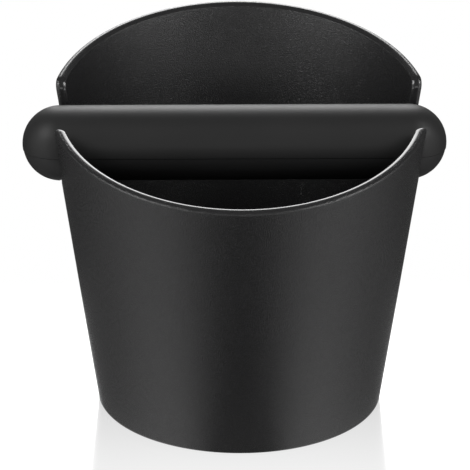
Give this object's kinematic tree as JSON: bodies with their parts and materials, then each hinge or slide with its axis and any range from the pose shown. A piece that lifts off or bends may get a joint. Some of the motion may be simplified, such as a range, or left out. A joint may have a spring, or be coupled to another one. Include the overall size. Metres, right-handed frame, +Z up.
{
  "type": "espresso knock box",
  "caption": "Tapered round bucket with a slanted mouth and a soft-skinned knock bar that lifts out of two notches in its walls.",
  "frame": {"origin": "on the bucket's axis, at the surface that the box stands on", "axes": "+X along the knock bar to the right seen from the front, +Y to the tall back of the bucket, +Z up"},
  "size_m": [0.16, 0.1427, 0.14],
  "materials": {
    "bin_plastic": "black moulded plastic with a fine spark-eroded grain",
    "foot_rubber": "black non-slip rubber",
    "bar_soft_skin": "smooth satin black soft-touch skin",
    "bar_plastic": "black satin moulded plastic"
  },
  "bodies": {
    "bucket": {"bin": "bin_plastic", "foot_ring": "foot_rubber"},
    "knock_bar": {"knock_bar_sleeve": "bar_soft_skin", "knock_bar_core": "bar_plastic", "knock_bar_base": "bar_plastic"}
  },
  "joints": [
    {"name": "knock_bar_lift", "type": "slide", "parent": "bucket", "child": "knock_bar", "axis": [0, 0, 1], "range_m": [0, 0.06]}
  ]
}
